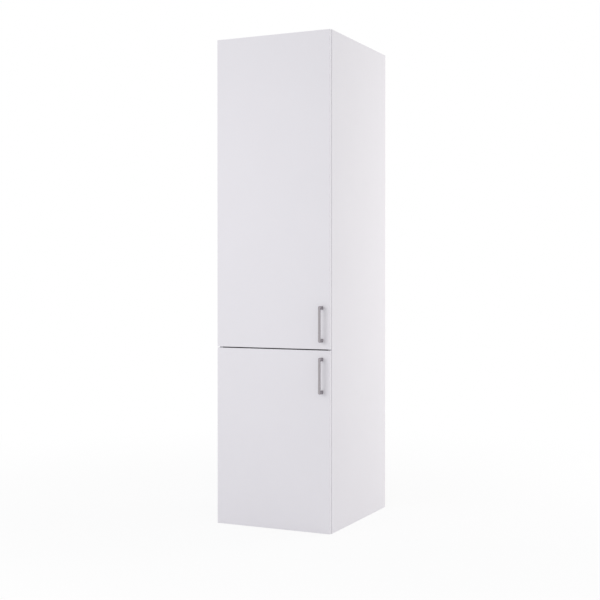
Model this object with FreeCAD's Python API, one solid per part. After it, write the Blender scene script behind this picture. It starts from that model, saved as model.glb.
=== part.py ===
"""Tall two-door cabinet: a flat-pack carcass of faced board with two slab doors on cup hinges.

The frame is +Z up, +X to the right and +Y to the back. The doors face -Y. The origin is on the floor, in the
middle of the box that holds the cabinet with its handles. All sizes are in millimetres.
"""

import FreeCAD, Part

import math
import os

from FreeCAD import Vector

# Overall sizes
cabinet_width = 500.0
cabinet_height = 1970.0
carcass_depth = 580.0
board = 16.0
lower_section = 720.0

# Doors
door_thickness = 18.0
door_gap = 2.5
side_reveal = 0.5
end_reveal = 2.3
band_thickness = 1.0
band_round = 0.8

# Handles
handle_centres = 128.0
handle_leg = 14.3
handle_width = 8.0
handle_projection = 31.0
handle_bar = 7.5
handle_corner = 6.0
handle_inner_corner = 3.0
handle_edge_round = 1.6
handle_from_side = 31.8
handle_from_end = 34.4
handle_screw_radius = 2.0
handle_screw_depth = 8.0
handle_screw_head_radius = 4.2
handle_screw_head = 2.2

# Back of the carcass
back_thickness = 3.0
back_recess = 16.0
groove_depth = 6.0
rail_height = 80.0
rail_above_shelf = 16.0
strip_flange = 1.2
strip_height = 20.0
strip_web = 1.2
wall_hole_radius = 3.25
wall_hole_spacing = 300.0

# Rows of shelf holes in the side panels
hole_pitch = 32.0
hole_radius = 2.5
hole_depth = 11.0
first_hole = 64.0
front_row = 37.0
rear_row_margin = 50.0

# Shelves
fixed_shelf_drop = 16.0
upper_shelves = 3
lower_shelves = 1
shelf_end_gap = 1.0
shelf_setback = 22.0
shelf_back_gap = 5.0
shelf_hinge_gap = 12.0
pin_length = 9.0
pin_tab = 9.0
pin_tab_thickness = 3.0
pin_rib = 5.5

# Joints of the carcass
cam_radius = 7.35
cam_below_bolt = 4.5
cam_from_end = 34.0
cam_from_front = 60.0
cam_from_rear = 90.0
cam_cross = 8.0
cam_cross_width = 1.2
cam_cross_depth = 2.0
cam_cap_radius = 8.6
cam_cap = 1.0
bolt_thread_radius = 2.4
bolt_thread = 10.5
bolt_shank_radius = 3.6
bolt_shank = 24.0
bolt_neck_radius = 2.0
bolt_head_radius = 3.3
bolt_head = 5.0
dowel_radius = 4.0
dowel_in_side = 10.0
dowel_in_panel = 20.0
dowel_chamfer = 1.0
dowel_from_cam = 32.0
rail_dowel_spread = 40.0

# Cup hinges, with one pin each
hinge_from_end = 100.0
hinge_reach = 900.0
cup_radius = 17.4
cup_depth = 12.6
cup_wall = 0.8
cup_from_edge = 3.0
cup_flange = 1.2
cup_flange_height = 58.0
cup_flange_inner = 8.7
cup_flange_corner = 5.8
cup_screw_spacing = 45.0
cup_screw_offset = 9.5
cup_screw_radius = 1.75
cup_screw_length = 11.0
cup_screw_head_radius = 3.4
cup_screw_head = 1.0
hinge_pin_radius = 1.25
axis_from_edge = 7.4
axis_depth = 9.0
eye_radius = 2.4
lug_height = 3.8
lug_gap = 0.6
arm_strip = 2.5
arm_neck_width = 8.0
arm_neck = 12.0
arm_width = 15.0
arm_length = 60.0
arm_bend = 3.5
arm_lip = 4.0
arm_lip_thickness = 1.25
arm_screw_radius = 2.4
arm_screw_setback = 4.0
arm_screw_head_radius = 4.4
arm_screw_head = 2.4
arm_screw_slot = 1.0
plate_wing = 3.0
plate_block = 8.0
plate_height = 50.0
plate_wing_width = 12.0
plate_corner = 5.4
plate_block_width = 11.0
plate_block_length = 34.0
plate_screw_head_radius = 4.0
plate_screw_head = 2.0

# Magnetic catches, level with the handles
catch_height = 46.0
catch_width = 13.0
catch_depth = 16.0
catch_wall = 2.0
catch_screw_radius = 1.75
catch_screw_spacing = 32.0
catch_screw_head_radius = 3.2
catch_screw_head = 1.2
magnet_height = 22.0
strike_height = 40.0
strike_width = 10.0
strike_thickness = 1.2

# Small parts and fits
bumper_radius = 4.0
bumper_from_end = 40.0
leg_hole_radius = 5.0
leg_hole_depth = 10.0
leg_inset = 75.0
slip = 0.05
fit_gap = 0.2

# Places that follow from the sizes above
depth_with_handles = carcass_depth + door_gap + door_thickness + handle_projection
rear = depth_with_handles / 2
front = rear - carcass_depth
door_back = front - door_gap
door_front = door_back - door_thickness
half = cabinet_width / 2
inside = half - board
top = cabinet_height
back_rear = rear - back_recess
back_front = back_rear - back_thickness
fixed_top = lower_section - fixed_shelf_drop
usable_depth = carcass_depth - back_recess - back_thickness - front_row - rear_row_margin
rear_row = front_row + hole_pitch * math.floor(usable_depth / hole_pitch)
row_places = [front + front_row, front + rear_row]
hole_count = math.floor((cabinet_height - 2 * first_hole) / hole_pitch) + 1
hole_levels = [first_hole + hole_pitch * i for i in range(hole_count)]
strip_level = fixed_top - board / 2
cam_places = [front + cam_from_front, rear - cam_from_rear]
cam_bore_depth = board / 2 + cam_below_bolt
axis_x = -half + side_reveal + axis_from_edge
axis_y = door_back - axis_depth
cup_x = -half + side_reveal + cup_from_edge + cup_radius
plate_top = -inside + plate_block
arm_screw_y = front + front_row + arm_screw_setback
lug_start = arm_neck_width / 2 + lug_gap
pin_half = lug_start + lug_height
handle_x = half - side_reveal - handle_from_side
catch_front = door_back + strike_thickness + fit_gap
catch_screw_y = catch_front + catch_depth / 2
door_spans = {
    "lower": (end_reveal, lower_section - end_reveal),
    "upper": (lower_section + end_reveal, cabinet_height - end_reveal),
}
panel_levels = {
    "bottom_panel": (0.0, board),
    "fixed_shelf": (fixed_top - board, fixed_top),
    "top_panel": (top - board, top),
}
middle_rail_low = fixed_top + rail_above_shelf
rail_levels = {
    "bottom_rail": (board, board + rail_height),
    "middle_rail": (middle_rail_low, middle_rail_low + rail_height),
    "top_rail": (top - board - rail_height, top - board),
}


def block(x0, x1, y0, y1, z0, z1):
    """A box between two corners."""
    return Part.makeBox(x1 - x0, y1 - y0, z1 - z0, Vector(x0, y0, z0))


def rod(radius, start, way, length):
    """A round bar from a point, along a direction."""
    return Part.makeCylinder(radius, length, Vector(*start), Vector(*way))


def joined(shapes):
    """Several touching shapes as one solid."""
    return shapes[0].multiFuse(shapes[1:]).removeSplitter()


def near(a, b):
    """Whether two places are the same but for rounding."""
    return abs(a - b) < slip


def edges_at(shape, **place):
    """The edges of a shape whose middle is at the given x, y or z."""
    return [e for e in shape.Edges if all(near(getattr(e.CenterOfMass, k), v) for k, v in place.items())]


def hinge_levels(low, high):
    """Hinge centres of one door: near both ends and evenly between, each midway between two shelf holes."""
    count = math.ceil((high - low) / hinge_reach) + 1
    span = high - low - 2 * hinge_from_end
    wanted = [low + hinge_from_end + span * i / (count - 1) for i in range(count)]
    between = [level + hole_pitch / 2 for level in hole_levels[:-1]]
    return [min(between, key=lambda level: abs(level - z)) for z in wanted]


hinges = {door: hinge_levels(*span) for door, span in door_spans.items()}
all_hinges = [z for levels in hinges.values() for z in levels]


def shelf_holes(low, high, count):
    """Pin levels of a compartment's shelves: evenly spread, but moved to holes clear of the hinges."""
    space = (high - low + board) / (count + 1)
    room = (plate_height + board) / 2 + shelf_hinge_gap
    clear = [z for z in hole_levels if all(abs(z + board / 2 - hinge) > room for hinge in all_hinges)]
    wanted = [low + space * (i + 1) - board - hole_radius for i in range(count)]
    return [min(clear, key=lambda z: abs(z - level)) for level in wanted]


lower_holes = shelf_holes(board, fixed_top - board, lower_shelves)
upper_holes = shelf_holes(fixed_top, top - board, upper_shelves)
shelf_pin_levels = {f"lower_shelf_{i + 1}": z for i, z in enumerate(lower_holes)}
shelf_pin_levels.update({f"upper_shelf_{i + 1}": z for i, z in enumerate(upper_holes)})


def handle_levels(door):
    """The levels of a handle's two screws: at the bottom of the upper door and the top of the lower door."""
    low, high = door_spans[door]
    if door == "upper":
        return low + handle_from_end, low + handle_from_end + handle_centres
    return high - handle_from_end - handle_centres, high - handle_from_end


def catch_level(door):
    """The middle of a door's catch, level with the middle of its handle."""
    return sum(handle_levels(door)) / 2


def catch_screw_levels(door):
    """The levels of the two screws of a catch."""
    return catch_level(door) - catch_screw_spacing / 2, catch_level(door) + catch_screw_spacing / 2


def plate_screw_levels(level):
    """The two shelf holes that a mounting plate is screwed to."""
    return level - hole_pitch / 2, level + hole_pitch / 2


def panel_dowels():
    """The dowels of the fixed panels, as (y, z) of their axes."""
    return [(y + dowel_from_cam, (z0 + z1) / 2) for z0, z1 in panel_levels.values() for y in cam_places]


def rail_dowels():
    """The dowels of the rear rails, as (y, z) of their axes."""
    y = rear - back_recess / 2
    spread = rail_dowel_spread / 2
    return [(y, (z0 + z1) / 2 + way * spread) for z0, z1 in rail_levels.values() for way in (-1, 1)]


def dowel_bores(places, z0, z1):
    """The holes at both ends of a board between two levels for those of the dowels that it takes."""
    length = dowel_in_panel + fit_gap
    taken = [(y, z) for y, z in places if z0 < z < z1]
    return [rod(dowel_radius, (s * inside, y, z), (-s, 0, 0), length) for s in (-1, 1) for y, z in taken]


def side_panel(side):
    """A side panel with its holes and back groove. side is -1 on the left and 1 on the right."""
    x0, x1 = sorted((side * inside, side * half))
    core = block(x0, x1, front + band_thickness, rear, 0, top)
    out = (side, 0, 0)
    face = side * inside
    tools = [rod(hole_radius, (face, y, z), out, hole_depth) for y in row_places for z in hole_levels]
    for z0, z1 in panel_levels.values():
        tools += [rod(hole_radius, (face, y, (z0 + z1) / 2), out, hole_depth) for y in cam_places]
    dowel_hole = dowel_in_side + fit_gap
    tools += [rod(dowel_radius, (face, y, z), out, dowel_hole) for y, z in panel_dowels() + rail_dowels()]
    g0, g1 = sorted((face, face + side * groove_depth))
    tools.append(block(g0, g1, back_front - slip, back_rear + slip, 0, top))
    if side > 0:
        levels = [z for door in door_spans for z in catch_screw_levels(door)]
        tools += [rod(catch_screw_radius + slip, (face, catch_screw_y, z), out, hole_depth) for z in levels]
    return core.cut(tools)


def band(x0, x1, y0, y1, z0, z1, **round_at):
    """One strip of edge band, with the long edges at the given place rounded."""
    strip = block(x0, x1, y0, y1, z0, z1)
    return strip.makeFillet(band_round, edges_at(strip, **round_at))


def carcass_bands():
    """The edge bands on the front edges of the carcass boards and of the loose shelves."""
    bands = []
    y0, y1 = front, front + band_thickness
    for side in (-1, 1):
        x0, x1 = sorted((side * inside, side * half))
        bands.append(band(x0, x1, y0, y1, 0, top, y=y0, z=top / 2))
    for z0, z1 in panel_levels.values():
        bands.append(block(-inside, inside, y0, y1, z0, z1))
    reach = inside - shelf_end_gap
    y0, y1 = front + shelf_setback, front + shelf_setback + band_thickness
    for z in shelf_pin_levels.values():
        z0, z1 = z + hole_radius, z + hole_radius + board
        bands.append(band(-reach, reach, y0, y1, z0, z1, x=0, y=y0))
    return Part.makeCompound(bands)


def fixed_panel(name):
    """The top, the bottom or the fixed shelf, with cam bores on the face that looks into a compartment."""
    z0, z1 = panel_levels[name]
    middle = (z0 + z1) / 2
    depth_end = back_front - strip_flange - fit_gap if name == "fixed_shelf" else rear
    core = block(-inside, inside, front + band_thickness, depth_end, z0, z1)
    up = 1 if name == "bottom_panel" else -1
    face = z1 if up > 0 else z0
    tools = dowel_bores(panel_dowels(), z0, z1)
    for side in (-1, 1):
        for y in cam_places:
            centre = side * (inside - cam_from_end)
            tools.append(rod(cam_radius + fit_gap, (centre, y, face), (0, 0, -up), cam_bore_depth))
            end = (side * inside, y, middle)
            tools.append(rod(bolt_shank_radius + fit_gap, end, (-side, 0, 0), cam_from_end))
    if name != "fixed_shelf":
        g0, g1 = sorted((face, face - up * groove_depth))
        tools.append(block(-inside, inside, back_front - slip, back_rear + slip, g0, g1))
    if name == "bottom_panel":
        for x in (-half + leg_inset, half - leg_inset):
            for y in (front + leg_inset, rear - leg_inset):
                tools.append(rod(leg_hole_radius, (x, y, 0), (0, 0, 1), leg_hole_depth))
    return core.cut(tools)


def cam_sites():
    """Every cam lock as (side, y, level of the open face, way the face looks, middle of the board)."""
    for name, (z0, z1) in panel_levels.items():
        up = 1 if name == "bottom_panel" else -1
        for side in (-1, 1):
            for y in cam_places:
                yield side, y, (z1 if up > 0 else z0), up, (z0 + z1) / 2


def cam_locks():
    """The round cams, each with its slot for the bolt head and a cross for the screwdriver."""
    cams = []
    slot = bolt_head_radius + fit_gap
    arm, thin = cam_cross / 2, cam_cross_width / 2
    for side, y, face, up, middle in cam_sites():
        x = side * (inside - cam_from_end)
        start = face - up * fit_gap
        cam = rod(cam_radius, (x, y, start), (0, 0, -up), cam_bore_depth - 2 * fit_gap)
        x0, x1 = sorted((x - side * (bolt_head / 2 + fit_gap), x + side * 2 * cam_radius))
        c0, c1 = sorted((start, start - up * cam_cross_depth))
        cuts = [
            block(x0, x1, y - slot, y + slot, middle - slot, middle + slot),
            block(x - arm, x + arm, y - thin, y + thin, c0, c1),
            block(x - thin, x + thin, y - arm, y + arm, c0, c1),
        ]
        cams.append(cam.cut(cuts))
    return Part.makeCompound(cams)


def cam_caps():
    """The thin plastic caps that cover the cams."""
    caps = []
    for side, y, face, up, _ in cam_sites():
        cap = rod(cam_cap_radius, (side * (inside - cam_from_end), y, face), (0, 0, up), cam_cap)
        caps.append(cap.makeFillet(cam_cap / 2, edges_at(cap, z=face + up * cam_cap)))
    return Part.makeCompound(caps)


def cam_bolts():
    """The bolts that the cams pull on: a thread in the side panel, a shank, a neck and a head in the cam."""
    bolts = []
    neck = cam_from_end - bolt_shank - bolt_head / 2
    for side, y, _, _, z in cam_sites():
        way = (-side, 0, 0)
        start = side * inside
        pieces = [
            rod(bolt_thread_radius, (start, y, z), (side, 0, 0), bolt_thread),
            rod(bolt_shank_radius, (start, y, z), way, bolt_shank),
            rod(bolt_neck_radius, (start - side * bolt_shank, y, z), way, neck),
            rod(bolt_head_radius, (start - side * (bolt_shank + neck), y, z), way, bolt_head),
        ]
        bolts.append(joined(pieces))
    return Part.makeCompound(bolts)


def dowels():
    """The wooden dowels of the panels and rails."""
    length = dowel_in_side + dowel_in_panel
    pegs = []
    for side in (-1, 1):
        for y, z in panel_dowels() + rail_dowels():
            peg = rod(dowel_radius - slip, (side * (inside + dowel_in_side), y, z), (-side, 0, 0), length)
            pegs.append(peg.makeChamfer(dowel_chamfer, [e for e in peg.Edges if len(e.Vertexes) == 1]))
    return Part.makeCompound(pegs)


def wall_holes():
    """The ways of the two wall screws, through the top rail and the back panel."""
    z0, z1 = rail_levels["top_rail"]
    length = back_thickness + back_recess
    places = (-wall_hole_spacing / 2, wall_hole_spacing / 2)
    return [rod(wall_hole_radius, (x, back_front, (z0 + z1) / 2), (0, 1, 0), length) for x in places]


def rail(name):
    """A rear rail between the side panels. The top one has the two holes for the wall screws."""
    z0, z1 = rail_levels[name]
    core = block(-inside, inside, back_rear, rear, z0, z1)
    tools = dowel_bores(rail_dowels(), z0, z1)
    if name == "top_rail":
        tools += wall_holes()
    return core.cut(tools)


def back_panel(name):
    """One of the two thin back panels, which stand in the grooves and meet in the joint strip."""
    reach = inside + groove_depth - fit_gap
    if name == "lower_back_panel":
        z0, z1 = board - groove_depth + fit_gap, strip_level - strip_web / 2
        return block(-reach, reach, back_front, back_rear, z0, z1)
    z0, z1 = strip_level + strip_web / 2, top - board + groove_depth - fit_gap
    return block(-reach, reach, back_front, back_rear, z0, z1).cut(wall_holes())


def back_joint_strip():
    """The H-shaped plastic strip that joins the two back panels behind the fixed shelf."""
    z0, z1 = strip_level - strip_height / 2, strip_level + strip_height / 2
    web = strip_web / 2
    return joined(
        [
            block(-inside, inside, back_front - strip_flange, back_front, z0, z1),
            block(-inside, inside, back_front, back_rear, strip_level - web, strip_level + web),
            block(-inside, inside, back_rear, back_rear + strip_flange, z0, z1),
        ]
    )


def loose_shelf(level):
    """A shelf that lies on four pins."""
    reach = inside - shelf_end_gap
    low = level + hole_radius
    y0, y1 = front + shelf_setback + band_thickness, back_front - shelf_back_gap
    return block(-reach, reach, y0, y1, low, low + board)


def shelf_pins(level):
    """The four pins under one shelf: a round spigot in the hole and a flat tab on a rib under the shelf."""
    pins = []
    radius = hole_radius - slip
    seat = level + hole_radius
    for side in (-1, 1):
        face = side * inside
        x0, x1 = sorted((face, face - side * pin_tab))
        for y in row_places:
            spigot = rod(radius, (face + side * pin_length, y, level), (-side, 0, 0), pin_length)
            tab = block(x0, x1, y - pin_tab / 2, y + pin_tab / 2, seat - pin_tab_thickness, seat)
            rib = rod(radius, (face, y, level), (-side, 0, 0), pin_rib)
            pins.append(joined([spigot, tab, rib]))
    return Part.makeCompound(pins)


def hinge_plate(level):
    """A mounting plate on the left side panel: a wing with two screw holes and a raised block for the arm."""
    y = front + front_row
    w, b = plate_wing_width / 2, plate_block_width / 2
    low, high = level - plate_height / 2, level + plate_height / 2
    wing = block(-inside, -inside + plate_wing, y - w, y + w, low, high)
    corners = [e for z in (low, high) for e in edges_at(wing, x=-inside + plate_wing / 2, z=z)]
    wing = wing.makeFillet(plate_corner, corners)
    y0 = y - plate_block_length / 2
    raised = block(-inside, plate_top, y0, y0 + plate_block_length, level - b, level + b)
    holes = [rod(hole_radius, (-inside, y, z), (1, 0, 0), plate_wing) for z in plate_screw_levels(level)]
    holes.append(rod(hole_radius, (-inside, arm_screw_y, level), (1, 0, 0), plate_block))
    return joined([wing, raised]).cut(holes)


def hinge_arm(level):
    """The hooked arm: a strip along the plate whose end bends into the cup and closes round the pin."""
    n, w = arm_neck_width / 2, arm_width / 2
    x0, x1 = plate_top, plate_top + arm_strip
    y0, y1 = axis_y - arm_strip / 2, axis_y + arm_strip / 2
    tail = front + arm_length
    neck_end = front + arm_neck
    hook = block(x0, x1, y0, neck_end, level - n, level + n)
    reach = block(axis_x, x1, y0, y1, level - n, level + n)
    neck = joined([hook, reach])
    neck = neck.makeFillet(arm_bend, edges_at(neck, x=x1, y=y0))
    neck = neck.makeFillet(arm_bend - arm_strip, edges_at(neck, x=x0, y=y1))
    eye = rod(eye_radius, (axis_x, axis_y, level - n), (0, 0, 1), arm_neck_width)
    strip = block(x0, x1, neck_end, tail, level - w, level + w)
    t = arm_lip_thickness
    lips = [block(x0 - arm_lip, x0, neck_end, tail, z, z + t) for z in (level - w, level + w - t)]
    holes = [
        rod(hinge_pin_radius + slip, (axis_x, axis_y, level - n), (0, 0, 1), arm_neck_width),
        rod(hole_radius + fit_gap, (x0, arm_screw_y, level), (1, 0, 0), arm_strip),
    ]
    return joined([neck, eye, strip] + lips).cut(holes)


def arm_screws():
    """The slotted screws that hold the arms on their plates."""
    screws = []
    start = plate_top + arm_strip
    r, thin = arm_screw_head_radius, arm_screw_slot / 2
    for level in all_hinges:
        place = (start, arm_screw_y, level)
        shank = rod(arm_screw_radius, place, (-1, 0, 0), arm_strip + plate_block - fit_gap)
        head = rod(r, place, (1, 0, 0), arm_screw_head)
        x0, x1 = start + arm_screw_head / 2, start + arm_screw_head
        slot = block(x0, x1, arm_screw_y - r, arm_screw_y + r, level - thin, level + thin)
        screws.append(joined([shank, head]).cut(slot))
    return Part.makeCompound(screws)


def plate_screws():
    """The two screws of each mounting plate, in the front row of shelf holes."""
    screws = []
    for level in all_hinges:
        for z in plate_screw_levels(level):
            place = (-inside + plate_wing, front + front_row, z)
            shank = rod(arm_screw_radius, place, (-1, 0, 0), plate_wing + hole_depth - fit_gap)
            head = rod(plate_screw_head_radius, place, (1, 0, 0), plate_screw_head)
            screws.append(joined([shank, head]))
    return Part.makeCompound(screws)


def hinge_cup(level):
    """A hinge cup in the door's back: a shallow bowl with a screw flange and two lugs that carry the pin."""
    outside = rod(cup_radius - slip, (cup_x, door_back, level), (0, -1, 0), cup_depth)
    h = cup_flange_height / 2
    x0, x1 = cup_x - cup_flange_inner, cup_x + cup_radius
    flange = block(x0, x1, door_back, door_back + cup_flange, level - h, level + h)
    flange = flange.makeFillet(cup_flange_corner, edges_at(flange, y=door_back + cup_flange / 2))
    bowl_depth = cup_depth - cup_wall
    mouth = (cup_x, door_back + cup_flange, level)
    bowl = rod(cup_radius - cup_wall, mouth, (0, -1, 0), bowl_depth + cup_flange)
    shell = joined([outside, flange]).cut(bowl)
    lugs = []
    for z0 in (level - pin_half, level + lug_start):
        y0, y1 = door_back - bowl_depth, axis_y + eye_radius
        lug = block(cup_x - cup_radius, axis_x + eye_radius, y0, y1, z0, z0 + lug_height)
        lugs.append(lug.common(outside))
    holes = [rod(hinge_pin_radius + slip, (axis_x, axis_y, level - pin_half), (0, 0, 1), 2 * pin_half)]
    for way in (-1, 1):
        place = (cup_x + cup_screw_offset, door_back, level + way * cup_screw_spacing / 2)
        holes.append(rod(cup_screw_radius + slip, place, (0, 1, 0), cup_flange))
    return joined([shell] + lugs).cut(holes)


def hinge_pins(door):
    """The pins that one door turns on."""
    reach = pin_half - fit_gap
    starts = [(axis_x, axis_y, z - reach) for z in hinges[door]]
    return Part.makeCompound([rod(hinge_pin_radius, start, (0, 0, 1), 2 * reach) for start in starts])


def cup_screws(door):
    """The two screws of each cup of one door."""
    screws = []
    for level in hinges[door]:
        for way in (-1, 1):
            z = level + way * cup_screw_spacing / 2
            place = (cup_x + cup_screw_offset, door_back + cup_flange, z)
            shank = rod(cup_screw_radius, place, (0, -1, 0), cup_flange + cup_screw_length)
            head = rod(cup_screw_head_radius, place, (0, 1, 0), cup_screw_head)
            screws.append(joined([shank, head]))
    return Part.makeCompound(screws)


def handle(door):
    """A bow handle: a flat bar on two legs, with rounded corners and softened edges."""
    z0, z1 = handle_levels(door)
    z0, z1 = z0 - handle_leg / 2, z1 + handle_leg / 2
    far = door_front - handle_projection
    inner = far + handle_bar
    x0, x1 = handle_x - handle_width / 2, handle_x + handle_width / 2
    bow = block(x0, x1, far, door_front, z0, z1)
    bow = bow.cut(block(x0, x1, inner, door_front, z0 + handle_leg, z1 - handle_leg))
    bow = bow.makeFillet(handle_corner, edges_at(bow, x=handle_x, y=far))
    bow = bow.makeFillet(handle_inner_corner, edges_at(bow, x=handle_x, y=inner))
    rims = [e for e in edges_at(bow, x=x0) + edges_at(bow, x=x1) if e.BoundBox.YMin < door_front - slip]
    bow = bow.makeFillet(handle_edge_round, rims)
    depth = handle_screw_depth + fit_gap
    radius = handle_screw_radius + slip
    return bow.cut([rod(radius, (handle_x, door_front, z), (0, -1, 0), depth) for z in handle_levels(door)])


def handle_screws(door):
    """The two screws that hold a handle from inside the door."""
    screws = []
    for z in handle_levels(door):
        place = (handle_x, door_back, z)
        shank = rod(handle_screw_radius, place, (0, -1, 0), door_thickness + handle_screw_depth)
        head = rod(handle_screw_head_radius, place, (0, 1, 0), handle_screw_head)
        screws.append(joined([shank, head]))
    return Part.makeCompound(screws)


def door_panel(door):
    """The board of a door inside its edge bands, with the bores for the cups, their screws and the handle."""
    low, high = door_spans[door]
    x = half - side_reveal - band_thickness
    core = block(-x, x, door_front, door_back, low + band_thickness, high - band_thickness)
    way = (0, -1, 0)
    tools = []
    for level in hinges[door]:
        tools.append(rod(cup_radius, (cup_x, door_back, level), way, cup_depth + fit_gap))
        for side in (-1, 1):
            place = (cup_x + cup_screw_offset, door_back, level + side * cup_screw_spacing / 2)
            tools.append(rod(cup_screw_radius + slip, place, way, cup_screw_length + fit_gap))
    for z in handle_levels(door):
        tools.append(rod(handle_screw_radius + fit_gap, (handle_x, door_back, z), way, door_thickness))
    return core.cut(tools)


def door_bands(door):
    """The four strips of edge band round a door, rounded along the outside."""
    low, high = door_spans[door]
    middle = (low + high) / 2
    x, t = half - side_reveal, band_thickness
    y0, y1 = door_front, door_back
    strips = [
        band(-x, -x + t, y0, y1, low, high, x=-x, z=middle),
        band(x - t, x, y0, y1, low, high, x=x, z=middle),
        band(-x + t, x - t, y0, y1, low, low + t, x=0, z=low),
        band(-x + t, x - t, y0, y1, high - t, high, x=0, z=high),
    ]
    return Part.makeCompound(strips)


def door_bumpers(door):
    """The soft pads that a door closes on, over the front edge of the right side panel."""
    low, high = door_spans[door]
    thickness = door_gap - fit_gap
    x = (half - side_reveal + inside) / 2
    pads = []
    for z in (low + bumper_from_end, high - bumper_from_end):
        pad = rod(bumper_radius, (x, door_back, z), (0, 1, 0), thickness)
        pads.append(pad.makeFillet(thickness / 2, edges_at(pad, y=door_back + thickness)))
    return Part.makeCompound(pads)


def magnet_block(door, gap):
    """The pocket of a catch's magnet or, with a gap on every side but the front, the magnet itself."""
    level = catch_level(door)
    reach = magnet_height / 2 - gap
    x0, x1 = inside - catch_width + catch_wall + gap, inside - catch_wall - gap
    y1 = catch_front + catch_depth - catch_wall - gap
    return block(x0, x1, catch_front, y1, level - reach, level + reach)


def catch_housings():
    """The plastic housings of the two magnetic catches, on the inner face of the right side panel."""
    housings = []
    x = inside - catch_width
    for door in door_spans:
        z0, z1 = catch_level(door) - catch_height / 2, catch_level(door) + catch_height / 2
        body = block(x, inside, catch_front, catch_front + catch_depth, z0, z1)
        body = body.makeFillet(catch_wall, edges_at(body, x=x))
        cuts = [magnet_block(door, 0)]
        for z in catch_screw_levels(door):
            cuts.append(rod(catch_screw_radius + slip, (x, catch_screw_y, z), (1, 0, 0), catch_width))
        housings.append(body.cut(cuts))
    return Part.makeCompound(housings)


def catch_magnets():
    """The magnets of the two catches."""
    return Part.makeCompound([magnet_block(door, slip) for door in door_spans])


def catch_screws():
    """The two screws of each catch."""
    screws = []
    for door in door_spans:
        for z in catch_screw_levels(door):
            place = (inside - catch_width, catch_screw_y, z)
            shank = rod(catch_screw_radius, place, (1, 0, 0), catch_width + hole_depth - fit_gap)
            head = rod(catch_screw_head_radius, place, (-1, 0, 0), catch_screw_head)
            screws.append(joined([shank, head]))
    return Part.makeCompound(screws)


def strike_plate(door):
    """The steel plate on the back of a door that its catch holds."""
    level = catch_level(door)
    x = inside - catch_width / 2
    w, h = strike_width / 2, strike_height / 2
    return block(x - w, x + w, door_back, door_back + strike_thickness, level - h, level + h)


def carcass_nodes():
    """The nodes of the carcass by name."""
    nodes = {"left_side_panel": side_panel(-1), "right_side_panel": side_panel(1)}
    for name in panel_levels:
        nodes[name] = fixed_panel(name)
    for name in rail_levels:
        nodes[name] = rail(name)
    for name in ("lower_back_panel", "upper_back_panel"):
        nodes[name] = back_panel(name)
    nodes["back_joint_strip"] = back_joint_strip()
    for name, level in shelf_pin_levels.items():
        nodes[name] = loose_shelf(level)
        nodes[f"{name}_pins"] = shelf_pins(level)
    nodes["carcass_edge_bands"] = carcass_bands()
    nodes["cam_locks"] = cam_locks()
    nodes["cam_bolts"] = cam_bolts()
    nodes["cam_caps"] = cam_caps()
    nodes["dowels"] = dowels()
    nodes["catch_housings"] = catch_housings()
    nodes["catch_magnets"] = catch_magnets()
    nodes["catch_screws"] = catch_screws()
    nodes["hinge_plate_screws"] = plate_screws()
    nodes["hinge_arm_screws"] = arm_screws()
    for door, levels in hinges.items():
        for i, level in enumerate(levels):
            nodes[f"{door}_hinge_plate_{i + 1}"] = hinge_plate(level)
            nodes[f"{door}_hinge_arm_{i + 1}"] = hinge_arm(level)
    return nodes


def door_nodes(door):
    """The nodes of one door by name."""
    nodes = {
        f"{door}_door_panel": door_panel(door),
        f"{door}_door_edge_bands": door_bands(door),
        f"{door}_door_bumpers": door_bumpers(door),
        f"{door}_handle": handle(door),
        f"{door}_handle_screws": handle_screws(door),
        f"{door}_strike_plate": strike_plate(door),
        f"{door}_hinge_pins": hinge_pins(door),
        f"{door}_cup_screws": cup_screws(door),
    }
    for i, level in enumerate(hinges[door]):
        nodes[f"{door}_hinge_cup_{i + 1}"] = hinge_cup(level)
    return nodes


all_nodes = carcass_nodes()
for door_name in door_spans:
    all_nodes.update(door_nodes(door_name))
os.makedirs("parts", exist_ok=True)
for node_name, node_shape in all_nodes.items():
    node_shape.exportStep(os.path.join("parts", node_name + ".step"))
    print(f"{node_name}: {len(node_shape.Solids)} solid(s), {node_shape.Volume / 1000:.1f} cm3")
print(f"hinge axis at x {axis_x:.2f}, y {axis_y:.2f}")
print(f"hinges at {hinges}")
print(f"shelf pins at {shelf_pin_levels}")
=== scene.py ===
"""Looks of a tall two-door cabinet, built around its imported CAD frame.

Places and sizes are in metres, in the frame's own axes: +Z up, +X to the right and +Y to the back. The
doors face -Y. The CAD nodes keep their shapes and get their finishes here. The handles, the strike plates
and the cross-head screws are replaced by finer surfaces.
"""

import functools
import logging
import math
from collections.abc import Iterable, Sequence
from dataclasses import dataclass
from enum import Enum
from typing import Any

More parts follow.
